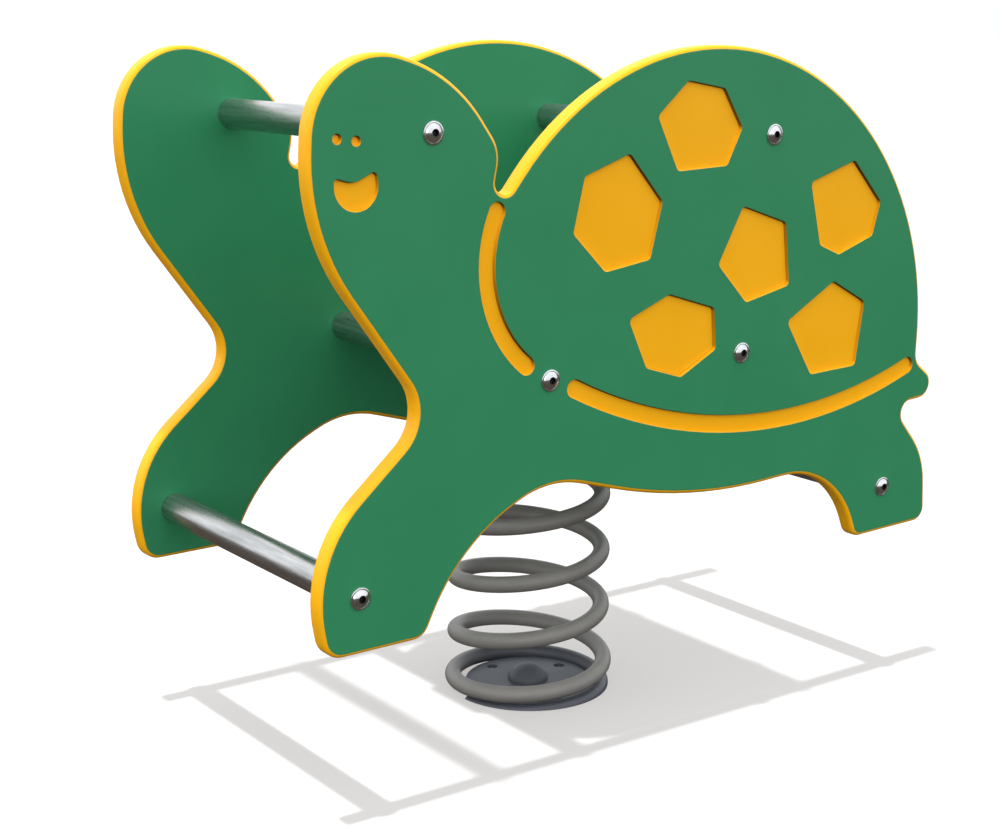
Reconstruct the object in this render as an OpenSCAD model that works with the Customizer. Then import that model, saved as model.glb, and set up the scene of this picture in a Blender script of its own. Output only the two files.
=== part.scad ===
// Spring rider in the shape of a turtle: two flat panels on cross bars, with a seat and a backrest
// between them, on one coil spring that is bolted to the ground.
// +X points to the head, +Y to the rider's left and +Z up. The origin is on the ground, under the spring.

/* [Panels] */
// Length of a panel from tail to nose
panel_len = 888; // [800:1:1000]
// Thickness of a panel
panel_t = 22; // [15:1:25]
// Distance between the inner faces of the panels
panel_gap = 400; // [360:2:460]
// Depth of the shapes milled into the outer faces
pocket_depth = 4; // [2:0.5:8]
// Corner radius of the plates milled into the shell
pocket_corner_r = 7; // [3:0.5:10]
// Width of the two curved grooves along the shell
groove_w = 22; // [14:1:28]
// Diameter of an eye
eye_d = 12; // [8:1:16]

/* [Cross bars] */
// Outside diameter of a bar
bar_d = 35; // [34:1:44]
// Wall of a bar
bar_wall = 2.5; // [2:0.5:5]
// Length of the tapped plug in each bar end
plug_len = 32; // [26:1:60]

/* [Seat] */
// Thickness of the seat and the backrest
board_t = 19; // [15:1:25]
// Gap between a board and the panel beside it
board_side_gap = 1; // [0.5:0.5:4]
// Distance from the front seat bar's axis to the front edge of the seat
seat_overhang = 15; // [15:1:50]
// Radius of the seat's front corners
seat_front_r = 90; // [30:5:125]
// Radius of the seat's rear corners and of the backrest's corners
seat_rear_r = 12; // [4:1:20]
// Distance from the middle of the seat to a seat bolt
seat_bolt_side = 28; // [24:1:32]

/* [Backrest] */
// Distance from the backrest bar's axis forwards to the front of the backrest
backrest_lead = 12; // [10:1:18]
// Thickness of the clips and brackets that hold the backrest
clip_t = 3; // [2:0.5:5]
// Width of a clip on the backrest bar
clip_w = 30; // [20:1:50]
// Length of a clip's tab below the bar
clip_tab = 45; // [36:1:70]
// Width of a bracket between backrest and seat
bracket_w = 40; // [24:1:60]
// Length of a bracket's leg on the seat
bracket_foot = 30; // [26:1:50]
// Length of a bracket's leg behind the backrest
bracket_rise = 40; // [34:1:70]
// Distance from the middle to each clip and bracket
clip_side = 120; // [60:1:150]

/* [Spring] */
// Diameter of the spring's wire
wire_d = 20; // [16:0.5:22]
// Outside diameter of the spring
spring_od = 200; // [190:1:220]
// Height of the spring, from the ground to the top plate
spring_h = 408; // [340:1:480]
// Number of turns of wire
spring_turns = 7.6; // [7:0.1:8.5]
// Gap between the wires of the closed end turns
coil_gap = 0.6; // [0.6:0.1:2]
// How much wider the wire runs where it passes over its end turns
flare = 5; // [0:0.5:8]
// Thickness that is left of the wire at its two tips, where its ends are ground flat
tip_t = 4; // [3.5:0.5:8]
// Direction in which the lower end of the wire lies
tip_az = 2; // [0:1:359]

/* [Base and top plate] */
// Gap between the base plate and the lowest turn of the spring round it
base_gap = 2.5; // [2:0.5:6]
// Thickness of the base plate
base_t = 5; // [4:0.5:8]
// Diameter of the circle of anchor holes
anchor_pcd = 120; // [110:1:125]
// Diameter of an anchor hole
anchor_hole_d = 14; // [10:0.5:16]
// Thickness of the top plate
top_t = 8; // [6:1:15]
// Width of the top plate over the spring
top_w = 200; // [200:5:300]
// Length over which the top plate keeps that width
top_wide_len = 150; // [100:5:200]
// Width of the top plate at its ends
top_end_w = 100; // [96:2:140]
// Distance from a seat bar's axis to the end of the top plate
top_margin = 25; // [22:1:60]
// Thickness of a saddle under its bar
saddle_t = 3; // [2:0.5:8]

/* [Fasteners] */
// Thread diameter of the panel, seat and spring bolts
bolt_d = 10; // [8:1:12]
// Thread diameter of the backrest bolts
small_bolt_d = 8; // [6:1:8]
// Thread diameter of the bolt in the middle of the base
centre_bolt_d = 16; // [12:1:18]
// How far a panel bolt reaches into its plug
bolt_grip = 22; // [14:1:25]
// How far a bolt's end stands out of its nut
bolt_end = 3; // [1:0.5:6]
// Diameter of the cap over the bolt in the middle of the base
cap_d = 50; // [46:1:60]
// Height of that cap
cap_h = 19; // [17:1:26]

/* [Hidden] */
$fn = 64;

// Clearances
overrun = 1;
fit_gap = 0.05;
bolt_clear = 0.5;
spring_gap = 0.3;
dog_gap = 1.2;
board_top_gap = 0.5;
end_gap = 0.5;

// Largest distance between a round outline and the chords that draw it
chord_error = 0.1;

// Places of the bars on a panel: forward of the spring's axis and over the foot's sole
seat_bar_shares = [0.1543, 0.2873];
handle_shares = [0.3187, 0.5852];
front_foot_shares = [0.4228, 0.067];
rear_foot_shares = [-0.4297, 0.067];
backrest_shares = [-0.2006, 0.5634];

// Outline of a panel as a belt round circles: place, radius, and 1 where the belt runs round the outside
// of the circle, -1 where the circle presses into the belt
panel_outline_shares = [
    // Hind foot and belly
    [-0.5024, 0.0236, 0.0195, 1],
    [-0.3909, 0.0189, 0.0175, 1],
    [-0.2461, -0.023, 0.1327, -1],
    [-0.1643, 0.892, 0.7853, 1],
    // Arch behind the front foot
    [0.1408, 0.0262, 0.131, -1],
    [0.1015, -0.0826, 0.2462, -1],
    // Front foot, shoulder and throat
    [0.3494, 0.0243, 0.0233, 1],
    [0.4456, 0.0259, 0.0259, 1],
    [0.32, 0.0619, 0.1561, 1],
    [0.3989, 0.2733, 0.0558, -1],
    // Head and neck
    [0.2271, 0.558, 0.251, 1],
    [0.3836, 0.5801, 0.0933, 1],
    [0.4011, 0.4874, 0.1871, 1],
    [0.2706, 0.5526, 0.043, 1],
    [0.2195, 0.5247, 0.0127, -1],
    // Shell, tail and thigh
    [-0.1041, 0.2879, 0.3877, 1],
    [-0.5125, 0.2497, 0.0219, -1],
    [-0.5002, 0.205, 0.0211, 1],
    [-0.4834, 0.1658, 0.017, -1],
    [-0.4058, 0.055, 0.1141, 1]
];

// Corners of the six plates on the shell, each plate counter-clockwise
pocket_shares = [
    [[-0.018, 0.49], [0.001, 0.419], [0.072, 0.409], [0.122, 0.459], [0.105, 0.527], [0.035, 0.551]],
    [[-0.116, 0.624], [-0.147, 0.574], [-0.122, 0.527], [-0.04, 0.524], [-0.006, 0.593], [-0.055, 0.635]],
    [[-0.107, 0.351], [-0.111, 0.296], [-0.052, 0.266], [0.005, 0.284], [0.035, 0.349], [-0.031, 0.375]],
    [[-0.38, 0.334], [-0.366, 0.246], [-0.281, 0.243], [-0.234, 0.32], [-0.319, 0.367]],
    [[-0.228, 0.451], [-0.237, 0.367], [-0.16, 0.351], [-0.11, 0.404], [-0.151, 0.477]],
    [[-0.403, 0.467], [-0.389, 0.421], [-0.326, 0.4], [-0.29, 0.415], [-0.269, 0.5], [-0.35, 0.525]]
];

// The grooves follow two arcs: place of the centre and radius, then the directions of their ends
neck_groove_shares = [0.0922, 0.428, 0.1535];
neck_groove_ends = [-51, 25];
rim_groove_shares = [-0.2192, 0.9235, 0.7325];
rim_groove_ends = [-110, -62.7];

// Face: eyes, and a mouth drawn as a belt
eye_shares = [[0.4175, 0.5801], [0.4414, 0.5831]];
mouth_shares = [
    [0.4182, 0.532, 0.0289, 1],
    [0.4418, 0.5365, 0.0052, 1],
    [0.4231, 0.559, 0.0219, -1],
    [0.3964, 0.5404, 0.0063, 1]
];

// Bolt heads and nuts as shares of the thread diameter
flange_share = 2.2;
flange_t_share = 0.2;
dome_share = 1.75;
head_h_share = 0.55;
socket_share = 0.72;
socket_depth_share = 0.32;
nut_share = 1.96;
nut_h_share = 0.8;
hex_head_share = 1.73;
hex_head_h_share = 0.625;
cap_head_share = 1.6;
cap_head_h_share = 0.6;

// Clamp dogs: how far along the end turn each one holds the wire
dog_turns = [0.105, 0.203];
dog_w = 22;
dog_len = 38;
dog_nose = 4;
dog_over_wire = 2;
dog_bolt_share = 0.4;
anchor_count = 4;
anchor_az = 12;

// Brackets on the seat: distance to its rear edge, and where on each leg the bolt sits
bracket_margin = 6;
bracket_bolt_shares = [0.55, 0.62];

// Saddles under the seat bars
saddle_w = 34;
saddle_len = 36;
saddle_lip = 8;
top_corner_r = 12;

// Radii that follow from the sizes above
bar_r = bar_d / 2;
wire_r = wire_d / 2;
spring_r = (spring_od - wire_d) / 2;
base_r = spring_r - wire_r - base_gap;
anchor_r = anchor_pcd / 2;
bolt_hole_d = bolt_d + 2 * bolt_clear;
small_hole_d = small_bolt_d + 2 * bolt_clear;
tapped_d = bolt_d + 2 * fit_gap;

// Heights from the ground up
top_z = spring_h + top_t;
seat_bar_z = top_z + saddle_t + bar_r;
seat_z = seat_bar_z + bar_r;
seat_top_z = seat_z + board_t;
panel_z = seat_bar_z - panel_len * seat_bar_shares[1];

// Places of the bars in side view
seat_bar_x = panel_len * seat_bar_shares[0];
seat_front_at = bar_place(seat_bar_shares);
seat_rear_at = [-seat_bar_x, seat_bar_z];
handle_at = bar_place(handle_shares);
front_foot_at = bar_place(front_foot_shares);
rear_foot_at = bar_place(rear_foot_shares);
backrest_at = bar_place(backrest_shares);
bar_places = [seat_front_at, seat_rear_at, handle_at, front_foot_at, rear_foot_at, backrest_at];

// Seat and backrest
board_half_w = panel_gap / 2 - board_side_gap;
seat_front_x = seat_bar_x + seat_overhang;
back_front_x = backrest_at[0] + backrest_lead;
back_rear_x = back_front_x - board_t;
bracket_end_x = back_rear_x - bracket_foot;
seat_rear_x = bracket_end_x - bracket_margin;
back_top_z = backrest_at[1] - bar_r - clip_t - board_top_gap;
clip_bolt_z = back_top_z - clip_tab / 2;
bracket_bolt_x = back_rear_x - bracket_foot * bracket_bolt_shares[0];
bracket_bolt_z = seat_top_z + bracket_rise * bracket_bolt_shares[1];

// The spring's wire: closed end turns, a ramp, then open turns of one pitch. Its ends are ground flat,
// so that the middle of the wire starts below the ground and ends above the top plate's underside.
closed_turns = 0.95;
ramp_turns = 0.45;
flare_start = 0.55;
flare_turns = 1.2;
rings_per_turn = 24;
wire_sides = 6;
closed_pitch = wire_d + coil_gap;
wire_start_z = spring_gap + tip_t - wire_r;
wire_rise = spring_h - 2 * wire_start_z;
open_turns = spring_turns - 2 * closed_turns - ramp_turns;
pitch_gain = (wire_rise - closed_pitch * spring_turns) / open_turns;

function bar_place(shares) = [panel_len * shares[0], panel_z + panel_len * shares[1]];

function full_turn(angle) = angle - 360 * floor(angle / 360);

function held(value, least, most) = min(max(value, least), most);

// Points of an arc, as many as its radius needs
function arc(centre, r, from, sweep) =
    let (step = 2 * acos(1 - chord_error / r), count = max(1, ceil(abs(sweep) / step)))
    [for (i = [0 : count]) let (a = from + sweep * i / count) centre + r * [cos(a), sin(a)]];

// Direction in which a belt leaves circle a for circle b
function leaving(a, b) =
    let (way = [b[0] - a[0], b[1] - a[1]], spread = a[3] * a[2] - b[3] * b[2])
    atan2(way[1], way[0]) - acos(spread / norm(way));

// Outline of a belt round circles, in the order given, counter-clockwise
function belt(circles) =
    let (
        n = len(circles),
        leave = [for (i = [0 : n - 1]) leaving(circles[i], circles[(i + 1) % n])]
    )
    [
        for (i = [0 : n - 1])
            let (
                c = circles[i],
                turn = c[3] > 0 ? 0 : 180,
                from = leave[(i + n - 1) % n] + turn,
                to = leave[i] + turn,
                sweep = c[3] > 0 ? full_turn(to - from) : -full_turn(from - to)
            )
            each arc([c[0], c[1]], c[2], from, sweep)
    ];

// Belt whose circles are given as shares of the panel's length
function panel_belt(shares) =
    belt([for (c = shares) [c[0] * panel_len, c[1] * panel_len, c[2] * panel_len, c[3]]]);

// Circle that rounds the corner at b between a and c
function corner_circle(a, b, c, r) =
    let (
        u = (a - b) / norm(a - b),
        v = (c - b) / norm(c - b),
        half_angle = acos(u * v) / 2,
        middle = (u + v) / norm(u + v),
        centre = b + middle * r / sin(half_angle)
    )
    [centre[0], centre[1], r, 1];

// Polygon with each corner rounded by its own radius
function rounded(points, radii) =
    let (n = len(points))
    belt([
        for (i = [0 : n - 1])
            corner_circle(points[(i + n - 1) % n], points[i], points[(i + 1) % n], radii[i])
    ]);

function rounded_alike(points, r) = rounded(points, [for (p = points) r]);

function without_ends(points) = [for (i = [1 : len(points) - 2]) points[i]];

// Outline of a groove of even width along an arc, with round ends
function groove(centre, r, ends, w) =
    let (
        sweep = ends[1] - ends[0],
        first = centre + r * [cos(ends[0]), sin(ends[0])],
        last = centre + r * [cos(ends[1]), sin(ends[1])]
    )
    concat(
        without_ends(arc(centre, r + w / 2, ends[0], sweep)),
        arc(last, w / 2, ends[1], 180),
        without_ends(arc(centre, r - w / 2, ends[1], -sweep)),
        arc(first, w / 2, ends[0] + 180, 180)
    );

// How much of the open pitch the wire has gained after t turns, counted from the nearer end
function gained(t) =
    let (ramp = min(max(t - closed_turns, 0), ramp_turns))
    ramp * ramp / (2 * ramp_turns) + max(t - closed_turns - ramp_turns, 0);

function wire_z(t) =
    let (turns = t < spring_turns / 2 ? gained(t) : open_turns - gained(spring_turns - t))
    wire_start_z + closed_pitch * t + pitch_gain * turns;

function wire_pitch(t) =
    let (near = min(t, spring_turns - t), ramp = min(max(near - closed_turns, 0), ramp_turns))
    closed_pitch + pitch_gain * ramp / ramp_turns;

function wire_az(t) = tip_az + 360 * t;

// Distance of the wire from the spring's axis: even, but for one swell over each end turn
function wire_reach(t) =
    let (swell = held((min(t, spring_turns - t) - flare_start) / flare_turns, 0, 1))
    spring_r + flare * (1 - cos(360 * swell)) / 2;

function wire_slope(t) = atan(wire_pitch(t) / (2 * PI * spring_r));

function wire_centre(t) = [wire_reach(t) * cos(wire_az(t)), wire_reach(t) * sin(wire_az(t)), wire_z(t)];

// One ring of the wire's skin, square to the wire and ground flat where it passes an end of the spring
function wire_ring(t) =
    let (
        a = wire_az(t),
        s = wire_slope(t),
        out = [cos(a), sin(a), 0],
        up = [sin(s) * sin(a), -sin(s) * cos(a), cos(s)],
        low = spring_gap,
        high = spring_h - spring_gap,
        past_end = max(low - wire_z(t), wire_z(t) - high, 0),
        flat_half = sqrt(wire_r * wire_r - past_end * past_end)
    )
    [
        for (k = [0 : wire_sides - 1])
            let (
                b = 360 * k / wire_sides,
                across = held(wire_r * cos(b), -flat_half, flat_half),
                p = wire_centre(t) + across * out + wire_r * sin(b) * up
            )
            [p[0], p[1], held(p[2], low, high)]
    ];

ring_count = ceil(spring_turns * rings_per_turn);
ring_turns = [for (i = [0 : ring_count]) spring_turns * i / ring_count];

// Least gap of the wire to itself, between turns
spring_self_gap = min([
    for (i = [0 : ring_count - 1])
        for (j = [i + 1 : ring_count])
            if (ring_turns[j] - ring_turns[i] > 1 / 2)
                norm(wire_centre(ring_turns[i]) - wire_centre(ring_turns[j]))
]) - wire_d;
echo(str("least gap of the spring to itself: ", spring_self_gap, " mm"));

// Shapes that repeat

// Part of a ball, from its flat base upwards
module ball_cap(r, h) {
    ball_r = (r * r + h * h) / (2 * h);
    intersection() {
        translate([0, 0, h - ball_r])
            sphere(r = ball_r);
        cylinder(r = ball_r, h = h);
    }
}

// Domed bolt with a flange and a socket; its shank points down from zero
module button_bolt(d, shank) {
    head_h = d * head_h_share;
    flange_t = d * flange_t_share;
    socket_depth = d * socket_depth_share;
    difference() {
        union() {
            cylinder(d = d * flange_share, h = flange_t);
            translate([0, 0, flange_t])
                ball_cap(d * dome_share / 2, head_h - flange_t);
            translate([0, 0, -shank])
                cylinder(d = d, h = shank + flange_t);
        }
        translate([0, 0, head_h - socket_depth])
            cylinder(d = d * socket_share, h = socket_depth + overrun, $fn = 6);
    }
}

// Hexagon nut that hangs down from zero
module nut(d) {
    nut_h = d * nut_h_share;
    translate([0, 0, -nut_h])
        difference() {
            cylinder(d = d * nut_share, h = nut_h, $fn = 6);
            translate([0, 0, -overrun])
                cylinder(d = d + 2 * fit_gap, h = nut_h + 2 * overrun);
        }
}

// Cross bar between the panels, with its axis at a place in side view
module bar(place) {
    translate([place[0], panel_gap / 2, place[1]])
        rotate([90, 0, 0])
            difference() {
                cylinder(r = bar_r, h = panel_gap);
                translate([0, 0, -overrun])
                    cylinder(r = bar_r - bar_wall, h = panel_gap + 2 * overrun);
            }
}

// Puts its children at each seat bolt, at a height
module at_seat_bolts(z) {
    for (x = [-seat_bar_x, seat_bar_x], y = [-seat_bolt_side, seat_bolt_side])
        translate([x, y, z])
            children();
}

// Puts its children at both sides of the middle
module at_sides(side) {
    for (y = [-side, side])
        translate([0, y, 0])
            children();
}

// Puts its children on the outer face of the left panel at each bar, pointing outwards
module on_left_panel() {
    for (place = bar_places)
        translate([place[0], panel_gap / 2 + panel_t, place[1]])
            rotate([-90, 0, 0])
                children();
}

// Puts its children at each lower clamp dog, with X pointing outwards
module at_dogs() {
    for (t = dog_turns)
        let ($dog_turn = t)
            rotate([0, 0, wire_az(t)])
                children();
}

// Turns the lower end of the spring's mounting over to its upper end
module turned_over() {
    flip_az = tip_az + 180 * spring_turns;
    flip_z = spring_h / 2;
    translate([0, 0, flip_z])
        rotate(a = 180, v = [cos(flip_az), sin(flip_az), 0])
            translate([0, 0, -flip_z])
                children();
}

dog_tip_r = spring_r - wire_r + dog_nose;
dog_heel_r = dog_tip_r - dog_len;
dog_bolt_r = dog_heel_r + dog_len * dog_bolt_share;
dog_head_h = bolt_d * cap_head_h_share;
dog_head_d = bolt_d * cap_head_share;

function dog_top_z(t) = wire_z(t) + wire_r + dog_over_wire;

// Blocks beside the end turn, on a plate's face at a height, each with a nose over the wire
module clamp_dogs(face_z) {
    at_dogs()
        difference() {
            translate([dog_heel_r, -dog_w / 2, face_z])
                cube([dog_len, dog_w, dog_top_z($dog_turn) - face_z]);
            translate([0, 0, wire_z($dog_turn)])
                rotate([wire_slope($dog_turn), 0, 0])
                    rotate_extrude()
                        translate([spring_r, 0])
                            circle(r = wire_r + dog_gap);
            translate([dog_bolt_r, 0, face_z - overrun])
                cylinder(d = bolt_hole_d, h = dog_top_z($dog_turn) - face_z + 2 * overrun);
        }
}

// Socket screws through the dogs into a plate whose far face is at a height
module dog_bolts(far_z) {
    socket_depth = dog_head_h / 2;
    at_dogs()
        translate([dog_bolt_r, 0, dog_top_z($dog_turn)])
            difference() {
                union() {
                    cylinder(d = dog_head_d, h = dog_head_h);
                    translate([0, 0, far_z + end_gap - dog_top_z($dog_turn)])
                        cylinder(d = bolt_d, h = dog_top_z($dog_turn) - far_z - end_gap + socket_depth / 2);
                }
                translate([0, 0, dog_head_h - socket_depth])
                    cylinder(d = bolt_d * socket_share, h = socket_depth + overrun, $fn = 6);
            }
}

// Tapped holes for the dog bolts, right through a plate of a thickness with its far face at a height
module dog_bolt_holes(far_z, plate_t) {
    at_dogs()
        translate([dog_bolt_r, 0, far_z - overrun])
            cylinder(d = tapped_d, h = plate_t + 2 * overrun);
}

// Flat outline of a panel, drilled for the bar bolts
module panel_outline() {
    difference() {
        polygon(panel_belt(panel_outline_shares));
        for (place = bar_places)
            translate([place[0], place[1] - panel_z])
                circle(d = bolt_hole_d);
    }
}

// Shapes milled into the outer face of a panel
module panel_pockets() {
    for (corners = pocket_shares)
        polygon(rounded_alike(corners * panel_len, pocket_corner_r));
    neck = neck_groove_shares * panel_len;
    polygon(groove([neck[0], neck[1]], neck[2], neck_groove_ends, groove_w));
    rim = rim_groove_shares * panel_len;
    polygon(groove([rim[0], rim[1]], rim[2], rim_groove_ends, groove_w));
    for (eye = eye_shares * panel_len)
        translate(eye)
            circle(d = eye_d);
    polygon(panel_belt(mouth_shares));
}

// Panel on the left, with its outer face to the left
module panel() {
    translate([0, panel_gap / 2 + panel_t, panel_z])
        rotate([90, 0, 0])
            difference() {
                linear_extrude(panel_t)
                    panel_outline();
                translate([0, 0, -overrun])
                    linear_extrude(pocket_depth + overrun)
                        panel_pockets();
            }
}

// Base

module base_plate() {
    color("dimgray")
        difference() {
            cylinder(r = base_r, h = base_t, $fn = 128);
            for (i = [0 : anchor_count - 1])
                rotate([0, 0, anchor_az + 360 * i / anchor_count])
                    translate([anchor_r, 0, -overrun])
                        cylinder(d = anchor_hole_d, h = base_t + 2 * overrun);
            translate([0, 0, -overrun])
                cylinder(d = centre_bolt_d + 2 * fit_gap, h = base_t + 2 * overrun);
            dog_bolt_holes(0, base_t);
        }
}

module centre_bolt() {
    color("silver") {
        translate([0, 0, base_t])
            cylinder(d = centre_bolt_d * hex_head_share, h = centre_bolt_d * hex_head_h_share, $fn = 6);
        translate([0, 0, end_gap])
            cylinder(d = centre_bolt_d, h = base_t);
    }
}

module centre_cap() {
    color("dimgray")
        translate([0, 0, base_t])
            difference() {
                ball_cap(cap_d / 2, cap_h);
                translate([0, 0, -overrun])
                    cylinder(
                        d = centre_bolt_d * hex_head_share + 2 * fit_gap,
                        h = centre_bolt_d * hex_head_h_share + fit_gap + overrun,
                        $fn = 6
                    );
            }
}

module lower_clamp_dogs() {
    color("dimgray")
        clamp_dogs(base_t);
}

module lower_dog_bolts() {
    color("dimgray")
        dog_bolts(0);
}

// Spring

module spring() {
    rings = [for (t = ring_turns) wire_ring(t)];
    last = ring_count * wire_sides;
    sides = [
        for (i = [0 : ring_count - 1], k = [0 : wire_sides - 1])
            let (
                a = i * wire_sides + k,
                b = i * wire_sides + (k + 1) % wire_sides,
                c = a + wire_sides,
                d = b + wire_sides
            )
            each [[a, c, b], [b, c, d]]
    ];
    ends = [
        for (k = [1 : wire_sides - 2])
            each [[0, k, k + 1], [last, last + k + 1, last + k]]
    ];
    color("gray")
        polyhedron(points = [for (ring = rings) each ring], faces = concat(sides, ends));
}

// Rider: what stands on the spring

module upper_clamp_dogs() {
    color("dimgray")
        turned_over()
            clamp_dogs(0);
}

module upper_dog_bolts() {
    color("dimgray")
        turned_over()
            dog_bolts(-top_t);
}

module top_plate() {
    end_x = seat_bar_x + top_margin;
    end_y = top_end_w / 2;
    wide_x = top_wide_len / 2;
    wide_y = top_w / 2;
    corners = [
        [-end_x, -end_y], [-wide_x, -wide_y], [wide_x, -wide_y], [end_x, -end_y],
        [end_x, end_y], [wide_x, wide_y], [-wide_x, wide_y], [-end_x, end_y]
    ];
    color("gray")
        difference() {
            translate([0, 0, spring_h])
                linear_extrude(top_t)
                    polygon(rounded_alike(corners, top_corner_r));
            turned_over()
                dog_bolt_holes(-top_t, top_t);
            at_seat_bolts(spring_h - overrun)
                cylinder(d = bolt_hole_d, h = top_t + 2 * overrun);
        }
}

module bar_saddles() {
    saddle_h = saddle_t + saddle_lip;
    color("gray")
        at_seat_bolts(top_z)
            difference() {
                translate([-saddle_w / 2, -saddle_len / 2, 0])
                    cube([saddle_w, saddle_len, saddle_h]);
                translate([0, saddle_len / 2 + overrun, saddle_t + bar_r])
                    rotate([90, 0, 0])
                        cylinder(r = bar_r, h = saddle_len + 2 * overrun);
                translate([0, 0, -overrun])
                    cylinder(d = bolt_hole_d, h = saddle_h + 2 * overrun);
            }
}

// Seat bars are drilled from top to bottom for the seat bolts
module drilled_seat_bar(place) {
    color("lightsteelblue")
        difference() {
            bar(place);
            at_seat_bolts(seat_bar_z - bar_r - overrun)
                cylinder(d = bolt_hole_d, h = bar_d + 2 * overrun);
        }
}

module seat_front_bar() {
    drilled_seat_bar(seat_front_at);
}

module seat_rear_bar() {
    drilled_seat_bar(seat_rear_at);
}

module handle_bar() {
    color("lightsteelblue")
        bar(handle_at);
}

module front_foot_bar() {
    color("lightsteelblue")
        bar(front_foot_at);
}

module rear_foot_bar() {
    color("lightsteelblue")
        bar(rear_foot_at);
}

module backrest_bar() {
    color("lightsteelblue")
        bar(backrest_at);
}

module bar_end_plugs() {
    color("gray")
        for (place = bar_places, side = [0, 1])
            mirror([0, side, 0])
                translate([place[0], panel_gap / 2, place[1]])
                    rotate([90, 0, 0])
                        difference() {
                            cylinder(r = bar_r - bar_wall - fit_gap, h = plug_len);
                            translate([0, 0, -overrun])
                                cylinder(d = tapped_d, h = plug_len + 2 * overrun);
                        }
}

module seat_board() {
    corners = [
        [seat_rear_x, -board_half_w], [seat_front_x, -board_half_w],
        [seat_front_x, board_half_w], [seat_rear_x, board_half_w]
    ];
    radii = [seat_rear_r, seat_front_r, seat_front_r, seat_rear_r];
    color("seagreen")
        translate([0, 0, seat_z])
            difference() {
                linear_extrude(board_t)
                    difference() {
                        polygon(rounded(corners, radii));
                        at_sides(clip_side)
                            translate([bracket_bolt_x, 0])
                                circle(d = small_hole_d);
                    }
                at_seat_bolts(-overrun)
                    cylinder(d = bolt_hole_d, h = board_t + 2 * overrun);
            }
}

module seat_bolts() {
    nut_h = bolt_d * nut_h_share;
    shank = seat_top_z - spring_h + nut_h + bolt_end;
    color("silver")
        at_seat_bolts(seat_top_z)
            button_bolt(bolt_d, shank);
}

module seat_nuts() {
    color("silver")
        at_seat_bolts(spring_h)
            nut(bolt_d);
}

module backrest_board() {
    corners = [
        [-board_half_w, seat_top_z], [board_half_w, seat_top_z],
        [board_half_w, back_top_z], [-board_half_w, back_top_z]
    ];
    color("seagreen")
        translate([back_rear_x, 0, 0])
            rotate([90, 0, 90])
                linear_extrude(board_t)
                    difference() {
                        polygon(rounded_alike(corners, seat_rear_r));
                        for (y = [-clip_side, clip_side], z = [clip_bolt_z, bracket_bolt_z])
                            translate([y, z])
                                circle(d = small_hole_d);
                    }
}

// Rings round the backrest bar, each with a tab down behind the board
module backrest_clips() {
    tab_bottom_z = back_top_z - clip_tab;
    color("silver")
        at_sides(clip_side)
            difference() {
                union() {
                    translate([backrest_at[0], clip_w / 2, backrest_at[1]])
                        rotate([90, 0, 0])
                            cylinder(r = bar_r + clip_t, h = clip_w);
                    translate([back_rear_x - clip_t, -clip_w / 2, tab_bottom_z])
                        cube([clip_t, clip_w, backrest_at[1] - tab_bottom_z]);
                }
                translate([backrest_at[0], clip_w / 2 + overrun, backrest_at[1]])
                    rotate([90, 0, 0])
                        cylinder(r = bar_r + fit_gap, h = clip_w + 2 * overrun);
                translate([back_rear_x - clip_t - overrun, 0, clip_bolt_z])
                    rotate([0, 90, 0])
                        cylinder(d = small_hole_d, h = clip_t + 2 * overrun);
            }
}

// Puts its children at the front of the backrest on both sides, pointing forwards
module on_backrest(z) {
    at_sides(clip_side)
        translate([back_front_x, 0, z])
            rotate([0, 90, 0])
                children();
}

back_shank = board_t + clip_t + small_bolt_d * nut_h_share + bolt_end;

module backrest_clip_bolts() {
    color("silver")
        on_backrest(clip_bolt_z)
            button_bolt(small_bolt_d, back_shank);
}

module backrest_clip_nuts() {
    color("silver")
        on_backrest(clip_bolt_z)
            translate([0, 0, -board_t - clip_t])
                nut(small_bolt_d);
}

// Angles behind the backrest, on the seat
module backrest_brackets() {
    color("silver")
        at_sides(clip_side)
            difference() {
                union() {
                    translate([bracket_end_x, -bracket_w / 2, seat_top_z])
                        cube([bracket_foot, bracket_w, clip_t]);
                    translate([back_rear_x - clip_t, -bracket_w / 2, seat_top_z])
                        cube([clip_t, bracket_w, bracket_rise]);
                }
                translate([bracket_bolt_x, 0, seat_top_z - overrun])
                    cylinder(d = small_hole_d, h = clip_t + 2 * overrun);
                translate([back_rear_x - clip_t - overrun, 0, bracket_bolt_z])
                    rotate([0, 90, 0])
                        cylinder(d = small_hole_d, h = clip_t + 2 * overrun);
            }
}

module bracket_bolts() {
    color("silver") {
        on_backrest(bracket_bolt_z)
            button_bolt(small_bolt_d, back_shank);
        at_sides(clip_side)
            translate([bracket_bolt_x, 0, seat_top_z + clip_t])
                button_bolt(small_bolt_d, back_shank);
    }
}

module bracket_nuts() {
    color("silver") {
        on_backrest(bracket_bolt_z)
            translate([0, 0, -board_t - clip_t])
                nut(small_bolt_d);
        at_sides(clip_side)
            translate([bracket_bolt_x, 0, seat_z])
                nut(small_bolt_d);
    }
}

module left_panel() {
    color("seagreen")
        panel();
}

module right_panel() {
    color("seagreen")
        mirror([0, 1, 0])
            panel();
}

module left_panel_bolts() {
    color("silver")
        on_left_panel()
            button_bolt(bolt_d, panel_t + bolt_grip);
}

module right_panel_bolts() {
    color("silver")
        mirror([0, 1, 0])
            on_left_panel()
                button_bolt(bolt_d, panel_t + bolt_grip);
}

base_plate();
centre_bolt();
centre_cap();
lower_clamp_dogs();
lower_dog_bolts();
spring();
upper_clamp_dogs();
upper_dog_bolts();
top_plate();
bar_saddles();
seat_front_bar();
seat_rear_bar();
handle_bar();
front_foot_bar();
rear_foot_bar();
backrest_bar();
bar_end_plugs();
seat_board();
seat_bolts();
seat_nuts();
backrest_board();
backrest_clips();
backrest_clip_bolts();
backrest_clip_nuts();
backrest_brackets();
bracket_bolts();
bracket_nuts();
left_panel();
right_panel();
left_panel_bolts();
right_panel_bolts();
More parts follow.
